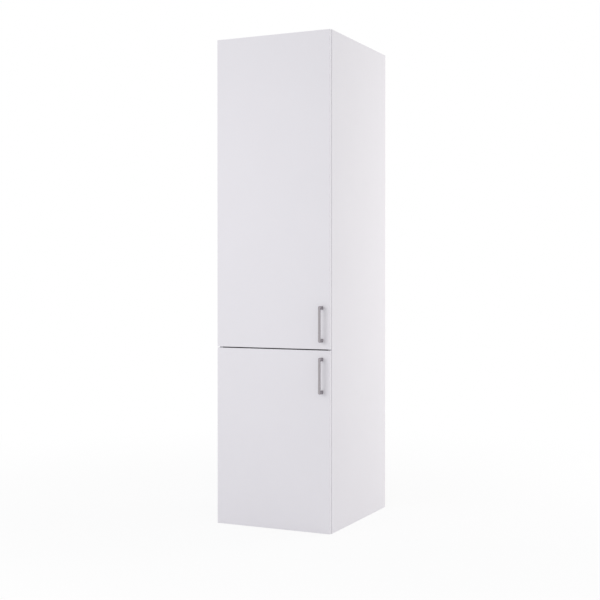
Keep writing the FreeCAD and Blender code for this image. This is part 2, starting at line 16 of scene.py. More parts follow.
import bpy
import numpy as np
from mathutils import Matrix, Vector


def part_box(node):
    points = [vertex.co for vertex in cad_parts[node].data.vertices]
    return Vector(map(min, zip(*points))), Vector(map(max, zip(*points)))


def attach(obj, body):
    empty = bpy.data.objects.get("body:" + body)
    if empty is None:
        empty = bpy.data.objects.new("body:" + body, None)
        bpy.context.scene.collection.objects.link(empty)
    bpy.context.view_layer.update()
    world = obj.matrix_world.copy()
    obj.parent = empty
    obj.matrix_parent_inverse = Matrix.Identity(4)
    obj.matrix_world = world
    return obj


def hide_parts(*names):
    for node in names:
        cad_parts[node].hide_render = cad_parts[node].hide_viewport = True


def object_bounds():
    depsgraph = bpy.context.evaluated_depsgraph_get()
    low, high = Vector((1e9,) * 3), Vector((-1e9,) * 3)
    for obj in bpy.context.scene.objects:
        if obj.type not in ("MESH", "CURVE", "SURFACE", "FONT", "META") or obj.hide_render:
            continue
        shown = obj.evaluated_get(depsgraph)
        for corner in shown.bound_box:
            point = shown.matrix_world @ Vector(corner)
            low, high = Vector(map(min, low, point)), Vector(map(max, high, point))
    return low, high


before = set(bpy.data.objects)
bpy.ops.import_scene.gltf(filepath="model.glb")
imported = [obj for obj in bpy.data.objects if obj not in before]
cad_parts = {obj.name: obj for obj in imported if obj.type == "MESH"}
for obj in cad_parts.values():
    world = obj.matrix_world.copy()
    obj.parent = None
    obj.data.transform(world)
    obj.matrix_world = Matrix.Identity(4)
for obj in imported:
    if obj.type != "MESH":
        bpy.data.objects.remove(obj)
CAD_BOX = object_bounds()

LOG = logging.getLogger("cabinet")
MM = 0.001

# The attribute of a piece that its brush lines follow
GRAIN = "grain"

# The least divisor, which keeps a division off zero
TINY = 1e-6

# The stretch of a noise over which a tone goes from dark to light: a soft one and a crisper one
SOFT_FADE = (0.3, 0.7)
CRISP_FADE = (0.35, 0.65)

# Socket numbers of a Mix node, whose names repeat for every kind of data
MIX_FLOAT_A, MIX_FLOAT_B, MIX_FLOAT_RESULT = 2, 3, 0
MIX_COLOUR_A, MIX_COLOUR_B, MIX_COLOUR_RESULT = 6, 7, 2


class Axis(Enum):
    """An axis of the frame, by its place in a vector."""

    X = 0
    Y = 1
    Z = 2


class DoorName(Enum):
    """The two doors, by the word that their nodes start with."""

    UPPER = "upper"
    LOWER = "lower"


def linear(hex_colour: str) -> tuple[float, ...]:
    """Turns an sRGB hex colour into linear light, by the curve of the sRGB standard.

    Args:
        hex_colour: Six hex digits after a hash.

    Returns:
        Red, green, blue and an alpha of 1.
    """
    srgb = np.array([int(hex_colour[i : i + 2], 16) for i in (1, 3, 5)]) / 255
    curved = np.where(srgb <= 0.04045, srgb / 12.92, ((srgb + 0.055) / 1.055) ** 2.4)
    return (*curved.tolist(), 1.0)


def scale_for(size: float) -> float:
    """The Scale of a pattern whose features are as large as a real size."""
    return 1.0 / size


def add(
    tree: bpy.types.NodeTree,
    kind: str,
    inputs: dict[str | int, Any] | None = None,
    stops: Iterable[tuple[float, str]] = (),
    **settings: Any,
) -> bpy.types.Node:
    """Adds a node with its settings, its input values and the links to it.

    Args:
        tree: The node tree that takes the node.
        kind: The node's type without the prefix that all shader nodes share.
        inputs: A value, or the output of another node, for each input by name or number.
        stops: Places and hex colours of a colour ramp, if the node has one.
        **settings: The node's own options.

    Returns:
        The new node.
    """
    node = tree.nodes.new("ShaderNode" + kind)
    for name, value in settings.items():
        setattr(node, name, value)
    for key, value in (inputs or {}).items():
        if isinstance(value, bpy.types.NodeSocket):
            tree.links.new(value, node.inputs[key])
        else:
            node.inputs[key].default_value = value
    for number, (place, colour) in enumerate(stops):
        ramp = node.color_ramp.elements
        stop = ramp[number] if number < len(ramp) else ramp.new(place)
        stop.position = place
        stop.color = linear(colour)
    return node


def seen_directly(tree: bpy.types.NodeTree) -> bpy.types.NodeSocket:
    """Tells the rays that show a surface from the rays that only carry its light.

    Args:
        tree: The node tree of the floor or the world.

    Returns:
        A socket that is 1 for camera, glossy and transmission rays, and 0 for the rest.
    """
    rays = add(tree, "LightPath").outputs
    mirrored = add(tree, "Math", {0: rays["Is Camera Ray"], 1: rays["Is Glossy Ray"]}, operation="MAXIMUM")
    through = {0: mirrored.outputs[0], 1: rays["Is Transmission Ray"]}
    return add(tree, "Math", through, operation="MAXIMUM").outputs[0]


class Finish:
    """A surface finish, which paints its pattern into the nodes of one material."""

    name: str

    @functools.cache
    def material(self) -> bpy.types.Material:
        """Gives the material of this finish, made on its first use.

        Returns:
            The node material.
        """
        made = bpy.data.materials.new(self.name)
        made.use_nodes = True
        shader = made.node_tree.nodes["Principled BSDF"]
        place = add(made.node_tree, "TexCoord").outputs["Object"]
        self.paint(made.node_tree, shader, place)
        return made

    def paint(self, tree: bpy.types.NodeTree, shader: bpy.types.Node, place: bpy.types.NodeSocket) -> None:
        """Adds the nodes of the finish.

        Args:
            tree: The material's node tree.
            shader: Its principled shader.
            place: The Object coordinates.
        """
        raise NotImplementedError


@dataclass(frozen=True)
class FacedChipboard(Finish):
    """Melamine-faced chipboard: white paper pressed in resin on both faces of a board of glued wood chips.

    The eye sees a matt, even white with a faint pearl grain. Cut edges and drilled holes show the tan chips
    between two thin white lines, because the white is only as deep as the paper.
    """

    board: str
    faced: tuple[Axis, ...]
    paper: float = 0.3 * MM
    white: str = "#E9E7EC"
    shade: str = "#E8E6EB"
    cloud: float = 220 * MM
    # The real grain is about 0.4 mm wide, and is drawn coarser so that it shows
    pearl: float = 1.6 * MM
    roughness: tuple[float, float] = (0.44, 0.52)
    chip: float = 3.0 * MM
    chip_tones: tuple[tuple[float, str], ...] = ((0.15, "#7C6242"), (0.45, "#A88A5E"), (0.8, "#CDB288"))
    chip_roughness: float = 0.9
    dust: float = 0.8 * MM
    relief: float = 0.25 * MM
    # How much of the chips' relief the paper has
    paper_relief: float = 0.06

    @property
    def name(self) -> str:
        """The material's name, one for each board."""
        return f"melamine_faced_chipboard.{self.board}"

    def paint(self, tree: bpy.types.NodeTree, shader: bpy.types.Node, place: bpy.types.NodeSocket) -> None:
        """Adds the paper, the chips and the mask between them.

        Args:
            tree: The material's node tree.
            shader: Its principled shader.
            place: The Object coordinates.
        """
        core = self.core_mask(tree, place)
        cloud = add(tree, "TexNoise", {"Vector": place, "Scale": scale_for(self.cloud), "Detail": 2.0})
        whites = zip(SOFT_FADE, (self.shade, self.white))
        paper = add(tree, "ValToRGB", {"Fac": cloud.outputs["Fac"]}, whites)
        cells = add(tree, "TexVoronoi", {"Vector": place, "Scale": scale_for(self.chip)})
        chips = add(tree, "ValToRGB", {"Fac": cells.outputs["Color"]}, self.chip_tones)
        colour = {0: core, MIX_COLOUR_A: paper.outputs["Color"], MIX_COLOUR_B: chips.outputs["Color"]}
        mixed = add(tree, "Mix", colour, data_type="RGBA")
        tree.links.new(mixed.outputs[MIX_COLOUR_RESULT], shader.inputs["Base Color"])

        pearl = add(tree, "TexNoise", {"Vector": place, "Scale": scale_for(self.pearl), "Detail": 1.0})
        low, high = self.roughness
        sheen = add(tree, "MapRange", {"Value": pearl.outputs["Fac"], "To Min": low, "To Max": high})
        dull = {0: core, MIX_FLOAT_A: sheen.outputs["Result"], MIX_FLOAT_B: self.chip_roughness}
        rough = add(tree, "Mix", dull, data_type="FLOAT")
        tree.links.new(rough.outputs[MIX_FLOAT_RESULT], shader.inputs["Roughness"])

        dust = add(tree, "TexNoise", {"Vector": place, "Scale": scale_for(self.dust), "Detail": 3.0})
        flat = add(tree, "MapRange", {"Value": pearl.outputs["Fac"], "To Max": self.paper_relief})
        relief = {0: core, MIX_FLOAT_A: flat.outputs["Result"], MIX_FLOAT_B: dust.outputs["Fac"]}
        height = add(tree, "Mix", relief, data_type="FLOAT").outputs[MIX_FLOAT_RESULT]
        bump = add(tree, "Bump", {"Height": height, "Distance": self.relief, "Strength": 0.6})
        tree.links.new(bump.outputs["Normal"], shader.inputs["Normal"])

    def core_mask(self, tree: bpy.types.NodeTree, place: bpy.types.NodeSocket) -> bpy.types.NodeSocket:
        """Finds where the chips show: deeper than the paper below every face that has paper.

        Args:
            tree: The material's node tree.
            place: The Object coordinates.

        Returns:
            A socket that is 1 in the core and 0 in the paper.
        """
        low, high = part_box(self.board)
        centred = add(tree, "Mapping", {"Vector": place, "Location": -(low + high) / 2})
        spread = add(tree, "VectorMath", {0: centred.outputs[0]}, operation="ABSOLUTE")
        half = (high - low) / 2
        depth = add(tree, "VectorMath", {0: half, 1: spread.outputs[0]}, operation="SUBTRACT")
        each = add(tree, "SeparateXYZ", {0: depth.outputs[0]}).outputs
        least = each[self.faced[0].value]
        for axis in self.faced[1:]:
            least = add(tree, "Math", {0: least, 1: each[axis.value]}, operation="MINIMUM").outputs[0]
        return add(tree, "Math", {0: least, 1: self.paper}, operation="GREATER_THAN").outputs[0]


@dataclass(frozen=True)
class LacqueredHardboard(Finish):
    """Thin hardboard: pressed wood fibre, lacquered white on the face that looks into the cabinet.

    The eye sees a plain white panel inside, and from behind a warm brown felt of short fibres.
    """

    board: str
    lacquer: float = 0.2 * MM
    white: str = "#E8E7E9"
    browns: tuple[tuple[float, str], ...] = ((0.36, "#6E543C"), (0.5, "#8E7052"), (0.64, "#AC8D6A"))
    cloud: float = 90 * MM
    cloud_share: float = 0.2
    # The real fibres are about 0.5 mm wide, and are drawn coarser so that they show
    fibre: float = 7 * MM
    lacquer_roughness: float = 0.45
    fibre_roughness: float = 0.78
    relief: float = 0.08 * MM

    @property
    def name(self) -> str:
        """The material's name, one for each panel."""
        return f"lacquered_hardboard.{self.board}"

    def paint(self, tree: bpy.types.NodeTree, shader: bpy.types.Node, place: bpy.types.NodeSocket) -> None:
        """Adds the lacquer in front and the fibres behind it.

        Args:
            tree: The material's node tree.
            shader: Its principled shader.
            place: The Object coordinates.
        """
        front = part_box(self.board)[0].y + self.lacquer
        along_y = add(tree, "SeparateXYZ", {0: place}).outputs[Axis.Y.value]
        raw = add(tree, "Math", {0: along_y, 1: front}, operation="GREATER_THAN").outputs[0]
        cloud = add(tree, "TexNoise", {"Vector": place, "Scale": scale_for(self.cloud), "Detail": 3.0})
        tangle = {"Detail": 6.0, "Roughness": 0.75, "Distortion": 2.0}
        fibre = add(tree, "TexNoise", {"Vector": place, "Scale": scale_for(self.fibre), **tangle})
        mottle = {0: self.cloud_share, MIX_FLOAT_A: fibre.outputs["Fac"], MIX_FLOAT_B: cloud.outputs["Fac"]}
        tone = add(tree, "Mix", mottle, data_type="FLOAT").outputs[MIX_FLOAT_RESULT]
        felt = add(tree, "ValToRGB", {"Fac": tone}, self.browns)
        colour = {0: raw, MIX_COLOUR_A: linear(self.white), MIX_COLOUR_B: felt.outputs["Color"]}
        mixed = add(tree, "Mix", colour, data_type="RGBA")
        tree.links.new(mixed.outputs[MIX_COLOUR_RESULT], shader.inputs["Base Color"])
        dull = {"Value": raw, "To Min": self.lacquer_roughness, "To Max": self.fibre_roughness}
        rough = add(tree, "MapRange", dull)
        tree.links.new(rough.outputs["Result"], shader.inputs["Roughness"])
        bump = add(tree, "Bump", {"Height": fibre.outputs["Fac"], "Distance": self.relief, "Strength": 0.5})
        tree.links.new(bump.outputs["Normal"], shader.inputs["Normal"])


@dataclass(frozen=True)
class MouldedPlastic(Finish):
    """Moulded or extruded plastic in one colour, with the fine eggshell that its tool leaves.

    The eye sees an even colour with a soft sheen that breaks up a little across the surface.
    """

    name: str
    colour: str
    shade: str
    eggshell: float
    roughness: tuple[float, float]
    relief: float = 0.03 * MM

    def paint(self, tree: bpy.types.NodeTree, shader: bpy.types.Node, place: bpy.types.NodeSocket) -> None:
        """Adds the tone, the sheen and the eggshell.

        Args:
            tree: The material's node tree.
            shader: Its principled shader.
            place: The Object coordinates.
        """
        shell = add(tree, "TexNoise", {"Vector": place, "Scale": scale_for(self.eggshell), "Detail": 2.0})
        grain = shell.outputs["Fac"]
        tone = add(tree, "ValToRGB", {"Fac": grain}, zip(SOFT_FADE, (self.shade, self.colour)))
        tree.links.new(tone.outputs["Color"], shader.inputs["Base Color"])
        low, high = self.roughness
        rough = add(tree, "MapRange", {"Value": grain, "To Min": low, "To Max": high})
        tree.links.new(rough.outputs["Result"], shader.inputs["Roughness"])
        bump = add(tree, "Bump", {"Height": grain, "Distance": self.relief, "Strength": 0.4})
        tree.links.new(bump.outputs["Normal"], shader.inputs["Normal"])


@dataclass(frozen=True)
class PlatedMetal(Finish):
    """Pressed or cast metal under a thin plating, with a cloudy sheen and a fine grain.

    The eye sees bright metal whose reflections are blurred unevenly, more so where the grain is coarse.
    """

    name: str
    colour: str
    tint: str
    cloud: float
    grain: float
    roughness: tuple[float, float]
    relief: float = 0.02 * MM

    def paint(self, tree: bpy.types.NodeTree, shader: bpy.types.Node, place: bpy.types.NodeSocket) -> None:
        """Adds the cloudy tone, the sheen and the grain.

        Args:
            tree: The material's node tree.
            shader: Its principled shader.
            place: The Object coordinates.
        """
        shader.inputs["Metallic"].default_value = 1.0
        cloud = add(tree, "TexNoise", {"Vector": place, "Scale": scale_for(self.cloud), "Detail": 3.0})
        tones = zip(CRISP_FADE, (self.tint, self.colour))
        tone = add(tree, "ValToRGB", {"Fac": cloud.outputs["Fac"]}, tones)
        tree.links.new(tone.outputs["Color"], shader.inputs["Base Color"])
        low, high = self.roughness
        rough = add(tree, "MapRange", {"Value": cloud.outputs["Fac"], "To Min": low, "To Max": high})
        tree.links.new(rough.outputs["Result"], shader.inputs["Roughness"])
        grain = add(tree, "TexNoise", {"Vector": place, "Scale": scale_for(self.grain), "Detail": 2.0})
        bump = add(tree, "Bump", {"Height": grain.outputs["Fac"], "Distance": self.relief, "Strength": 0.3})
        tree.links.new(bump.outputs["Normal"], shader.inputs["Normal"])


@dataclass(frozen=True)
class SatinNickel(Finish):
    """Satin nickel: plated zinc, brushed along the bow before a clear lacquer.

    The eye sees a warm mid grey whose soft reflections are drawn out across fine lines along the bow. The
    lines follow the piece's own grain attribute: metres along the bow and metres round its section.
    """

    name: str = "brushed_satin_nickel"
    colour: str = "#B0ABAF"
    groove: str = "#A6A1A5"
    # The real brush lines are about 0.1 mm apart, and are drawn wider so that they show
    line: float = 0.22 * MM
    stroke: float = 60 * MM
    roughness: tuple[float, float] = (0.28, 0.42)
    relief: float = 0.02 * MM

    def paint(self, tree: bpy.types.NodeTree, shader: bpy.types.Node, place: bpy.types.NodeSocket) -> None:
        """Adds the brush lines to the tone, the sheen and the relief.

        Args:
            tree: The material's node tree.
            shader: Its principled shader.
            place: The Object coordinates, which this finish doesn't need.
        """
        shader.inputs["Metallic"].default_value = 1.0
        grain = add(tree, "Attribute", attribute_name=GRAIN)
        stretch = (scale_for(self.stroke), scale_for(self.line), 1.0)
        drawn = add(tree, "Mapping", {"Vector": grain.outputs["Vector"], "Scale": stretch})
        brush = add(tree, "TexNoise", {"Vector": drawn.outputs[0], "Scale": 1.0, "Detail": 4.0})
        lines = brush.outputs["Fac"]
        tone = add(tree, "ValToRGB", {"Fac": lines}, zip(SOFT_FADE, (self.groove, self.colour)))
        tree.links.new(tone.outputs["Color"], shader.inputs["Base Color"])
        low, high = self.roughness
        rough = add(tree, "MapRange", {"Value": lines, "To Min": high, "To Max": low})
        tree.links.new(rough.outputs["Result"], shader.inputs["Roughness"])
        bump = add(tree, "Bump", {"Height": lines, "Distance": self.relief, "Strength": 0.4})
        tree.links.new(bump.outputs["Normal"], shader.inputs["Normal"])


@dataclass(frozen=True)
class PlainBeech(Finish):
    """Beech: turned pegs of pale pink-brown wood with short dark flecks along the grain.

    The eye sees a plain warm wood with fine lines along the peg.
    """

    name: str = "turned_beech"
    light: str = "#D3B58C"
    dark: str = "#B08E63"
    ring: float = 1.5 * MM
    fleck: float = 12 * MM
    roughness: float = 0.6

    def paint(self, tree: bpy.types.NodeTree, shader: bpy.types.Node, place: bpy.types.NodeSocket) -> None:
        """Adds the grain along X, which is how every peg lies.

        Args:
            tree: The material's node tree.
            shader: Its principled shader.
            place: The Object coordinates.
        """
        across = scale_for(self.ring)
        drawn = add(tree, "Mapping", {"Vector": place, "Scale": (scale_for(self.fleck), across, across)})
        grain = add(tree, "TexNoise", {"Vector": drawn.outputs[0], "Scale": 1.0, "Detail": 4.0})
        tones = zip(CRISP_FADE, (self.dark, self.light))
        tone = add(tree, "ValToRGB", {"Fac": grain.outputs["Fac"]}, tones)
        tree.links.new(tone.outputs["Color"], shader.inputs["Base Color"])
        shader.inputs["Roughness"].default_value = self.roughness


@dataclass(frozen=True)
class ClearElastomer(Finish):
    """Clear soft plastic, cast in small domes.

    The eye sees a milky drop that lets some light through and blurs it.
    """

    name: str = "clear_elastomer"
    colour: str = "#F1F1EE"
    shade: str = "#E3E3DF"
    cloud: float = 3 * MM
    clearness: float = 0.4
    ior: float = 1.45
    roughness: float = 0.25

    def paint(self, tree: bpy.types.NodeTree, shader: bpy.types.Node, place: bpy.types.NodeSocket) -> None:
        """Adds a faint cloud to the clear dome.

        Args:
            tree: The material's node tree.
            shader: Its principled shader.
            place: The Object coordinates.
        """
        shader.inputs["Transmission Weight"].default_value = self.clearness
        shader.inputs["IOR"].default_value = self.ior
        shader.inputs["Roughness"].default_value = self.roughness
        cloud = add(tree, "TexNoise", {"Vector": place, "Scale": scale_for(self.cloud)})
        tones = zip(SOFT_FADE, (self.shade, self.colour))
        tone = add(tree, "ValToRGB", {"Fac": cloud.outputs["Fac"]}, tones)
        tree.links.new(tone.outputs["Color"], shader.inputs["Base Color"])


EDGE_BAND = MouldedPlastic(
    "abs_edge_band", colour="#E9E7EC", shade="#E6E4EA", eggshell=2.2 * MM, roughness=(0.36, 0.44)
)
WHITE_PLASTIC = MouldedPlastic(
    "moulded_polypropylene", colour="#EDECEC", shade="#E7E6E7", eggshell=1.2 * MM, roughness=(0.38, 0.48)
)
FERRITE = MouldedPlastic(
    "sintered_ferrite",
    colour="#3A393B",
    shade="#29282A",
    eggshell=0.7 * MM,
    roughness=(0.75, 0.9),
    relief=0.1 * MM,
)
NICKEL_PLATE = PlatedMetal(
    "bright_nickel_plate",
    colour="#D6D3CE",
    tint="#C9C6C1",
    cloud=14 * MM,
    grain=0.6 * MM,
    roughness=(0.2, 0.32),
)
ZINC_PLATE = PlatedMetal(
    "bright_zinc_plate",
    colour="#CDD1D5",
    tint="#BEC1C0",
    cloud=5 * MM,
    grain=0.4 * MM,
    roughness=(0.26, 0.4),
)
CAST_ZINC = PlatedMetal(
    "die_cast_zinc",
    colour="#A9AAAC",
    tint="#98999A",
    cloud=4 * MM,
    grain=0.5 * MM,
    roughness=(0.42, 0.58),
    relief=0.06 * MM,
)
SATIN_NICKEL = SatinNickel()
BEECH = PlainBeech()
CLEAR = ClearElastomer()


def dress(node: str, finish: Finish) -> None:
    """Gives a CAD node its finish.

    Args:
        node: The node's name.
        finish: The finish that it shows.
    """
    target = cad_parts[node]
    target.material_slots[0].material = finish.material()
    LOG.info("dressed %s in %s", node, finish.name)


def ring_faces(rings: int, points: int) -> tuple[np.ndarray, np.ndarray]:
    """Joins rings of points into a closed skin.

    Point j of ring i is vertex i * points + j. Each ring is joined to the next by four-sided faces, and the
    two end rings are closed by fans to a pole each, which are the last two vertices. The faces point
    outwards if the points go round anticlockwise, seen from the first ring towards the last.

    Args:
        rings: How many rings there are.
        points: How many points each ring has.

    Returns:
        The four-sided faces and the three-sided faces, by vertex number.
    """
    ring, point = np.meshgrid(np.arange(rings - 1) * points, np.arange(points), indexing="ij")
    after = (point + 1) % points
    quads = np.stack([ring + point, ring + points + point, ring + points + after, ring + after], axis=-1)
    here = np.arange(points)
    beside = (here + 1) % points
    last = (rings - 1) * points
    start = np.stack([np.full(points, rings * points), here, beside], axis=-1)
    end = np.stack([np.full(points, rings * points + 1), last + beside, last + here], axis=-1)
    return quads.reshape(-1, 4), np.concatenate([start, end])


def rounded_corners(steps: int) -> tuple[np.ndarray, np.ndarray]:
    """Goes round the corners of a rounded rectangle, a quarter circle at each, anticlockwise.

    Args:
        steps: How many steps each quarter circle has.

    Returns:
        For each point, the corner that it belongs to as two signs, and its unit vector from the middle of
        that corner's circle.
    """
    turns = np.linspace(0, math.pi / 2, steps + 1)
    angles = (np.arange(4)[:, None] * math.pi / 2 + turns).ravel() - math.pi / 2
    middles = np.repeat(np.arange(4) * math.pi / 2 - math.pi / 4, len(turns))
    signs = np.sign(np.stack([np.cos(middles), np.sin(middles)], axis=1))
    return signs, np.stack([np.cos(angles), np.sin(angles)], axis=1)


def circle_within(ring: np.ndarray, radius: float) -> np.ndarray:
    """Draws a circle round the middle of a rounded rectangle that lies flat on a door.

    Its points are evenly spaced. They start above or below the middle, where the rectangle's own points
    start, and go round the same way.

    Args:
        ring: The points of the rectangle.
        radius: The circle's radius.

    Returns:
        The points of the circle, as many as the rectangle has.
    """
    middle = (ring.min(axis=0) + ring.max(axis=0)) / 2
    start = np.sign(ring[0, 2] - middle[2])
    turns = np.linspace(0, 2 * math.pi, len(ring), endpoint=False)
    return middle + radius * np.stack([np.sin(turns), np.zeros_like(turns), start * np.cos(turns)], axis=1)


def skin(name: str, solids: Sequence[np.ndarray], sharp: float = math.radians(35)) -> bpy.types.Object:
    """Makes one mesh piece of several closed skins of rings.

    Args:
        name: The piece's name.
        solids: For each skin, its rings as an array of ring, point and place.
        sharp: Edges that turn by more than this angle stay crisp.

    Returns:
        The piece, at the origin, with its place in its mesh.
    """
    vertices: list[np.ndarray] = []
    faces: list[list[int]] = []
    first = 0
    for rings in solids:
        poles = np.stack([rings[0].mean(axis=0), rings[-1].mean(axis=0)])
        quads, fans = ring_faces(*rings.shape[:2])
        faces += (quads + first).tolist() + (fans + first).tolist()
        vertices.append(np.concatenate([rings.reshape(-1, 3), poles]))
        first += len(vertices[-1])
    mesh = bpy.data.meshes.new(name)
    mesh.from_pydata(np.concatenate(vertices), [], faces)
    mesh.shade_smooth()
    mesh.set_sharp_from_angle(angle=sharp)
    piece = bpy.data.objects.new(name, mesh)
    bpy.context.scene.collection.objects.link(piece)
    return piece


def hang(piece: bpy.types.Object, body: str, finish: Finish, node: str) -> bpy.types.Object:
    """Puts a new piece in a CAD node's stead.

    Args:
        piece: The new piece.
        body: The body that it moves with.
        finish: The finish that it shows.
        node: The CAD node that it stands for.

    Returns:
        The piece.
    """
    piece.data.materials.append(finish.material())
    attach(piece, body)
    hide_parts(node)
    LOG.info("built %s on %s for %s: %d faces", piece.name, body, node, len(piece.data.polygons))
    return piece


def islands(node: str, gap: float = 1 * MM) -> list[tuple[np.ndarray, np.ndarray]]:
    """Finds the boxes of a node's solids, which lie apart from each other along Z.

    Args:
        node: The CAD node.
        gap: The least distance between two solids.

    Returns:
        The lowest and highest corner of each solid, from the lowest solid up.
    """
    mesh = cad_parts[node].data
    flat = np.empty(len(mesh.vertices) * 3)
    mesh.vertices.foreach_get("co", flat)
    places = flat.reshape(-1, 3)
    places = places[np.argsort(places[:, 2])]
    breaks = np.flatnonzero(np.diff(places[:, 2]) > gap) + 1
    return [(solid.min(axis=0), solid.max(axis=0)) for solid in np.split(places, breaks)]


@dataclass
class BowHandle:
    """A bow handle: a flat bar on two legs, drawn round two corners, with softened edges."""

    node: str
    body: str
    leg: float = 14.3 * MM
    bar: float = 7.5 * MM
    corner: float = 6 * MM
    inner_corner: float = 3 * MM
    edge: float = 1.6 * MM
    bore: float = 2.05 * MM
    bore_depth: float = 8.2 * MM
    leg_steps: int = 8
    corner_steps: int = 10
    bar_steps: int = 30
    edge_steps: int = 6

    def contour(self, inset_z: float, inset_y: float, radius: float) -> np.ndarray:
        """Runs along the bow at some depth below its outside.

        The line goes from the door along one leg, round a quarter circle, along the bar, round the other
        quarter circle and back along the other leg.

        Args:
            inset_z: Depth below the outside of the legs.
            inset_y: Depth below the front of the bar.
            radius: Radius of the corners.

        Returns:
            Points with x left at zero, one row each.
        """
        low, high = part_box(self.node)
        far, base = low.y + inset_y, high.y
        bottom, top = low.z + inset_z, high.z - inset_z
        leg = np.linspace(base, far + radius, self.leg_steps, endpoint=False)
        turn = np.linspace(0, math.pi / 2, self.corner_steps + 1)
        between = np.linspace(bottom + radius, top - radius, self.bar_steps + 1)[1:-1]
        first = np.stack([leg, np.full_like(leg, bottom)], axis=1)
        arc = np.stack([far + radius * (1 - np.sin(turn)), bottom + radius * (1 - np.cos(turn))], axis=1)
        bar = np.stack([np.full_like(between, far), between], axis=1)
        start = np.concatenate([first, arc])
        end = start[::-1] * (1, -1) + (0, bottom + top)
        line = np.concatenate([start, bar, end])
        return np.insert(line, 0, 0.0, axis=1)

    def rings(self) -> np.ndarray:
        """Carries a rounded rectangle along the bow, between an outer and an inner line.

        Each section stands on the line from an inner point to the outer point with the same number. The two
        ends lie flat on the door and turn in to the screw bores, which close the skin.

        Returns:
            The rings of the skin.
        """
        low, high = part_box(self.node)
        outer = self.contour(0.0, 0.0, self.corner)
        inner = self.contour(self.leg, self.bar, self.inner_corner)
        middle = (outer + inner) / 2 + ((low.x + high.x) / 2, 0, 0)
        reach = np.linalg.norm(outer - inner, axis=1)
        way = (outer - inner) / reach[:, None]
        signs, rounding = rounded_corners(self.edge_steps)
        across = signs[:, 0] * ((high.x - low.x) / 2 - self.edge) + rounding[:, 0] * self.edge
        depth = signs[:, 1] * (reach[:, None] / 2 - self.edge) + rounding[:, 1] * self.edge
        rings = middle[:, None] + across[None, :, None] * (1, 0, 0) + depth[:, :, None] * way[:, None]
        return np.concatenate([self.bore_rings(rings[0])[::-1], rings, self.bore_rings(rings[-1])])

    def bore_rings(self, end: np.ndarray) -> np.ndarray:
        """Turns one end of the bow in to its screw bore.

        Args:
            end: The section that lies on the door.

        Returns:
            The bore's mouth and its floor, as rings.
        """
        mouth = circle_within(end, self.bore)
        return np.stack([mouth, mouth - (0, self.bore_depth, 0)])

    def build(self) -> bpy.types.Object:
        """Makes the piece, with the way of its brush lines.

        Returns:
            The handle.
        """
        rings = self.rings()
        piece = skin(self.node + "_bow", [rings])
        steps = np.linalg.norm(np.diff(rings.mean(axis=1), axis=0), axis=1)
        along = np.concatenate([[0.0], np.cumsum(steps)])
        loop = np.linalg.norm(np.diff(rings[len(rings) // 2], axis=0), axis=1)
        around = np.concatenate([[0.0], np.cumsum(loop)])
        grid = np.stack([*np.meshgrid(along, around, indexing="ij"), np.zeros(rings.shape[:2])], axis=-1)
        poles = np.stack([grid[0].mean(axis=0), grid[-1].mean(axis=0)])
        grain = piece.data.attributes.new(GRAIN, "FLOAT_VECTOR", "POINT")
        grain.data.foreach_set("vector", np.concatenate([grid.reshape(-1, 3), poles]).ravel())
        piece.modifiers.new("even_flats", "WEIGHTED_NORMAL").keep_sharp = True
        return hang(piece, self.body, SATIN_NICKEL, self.node)


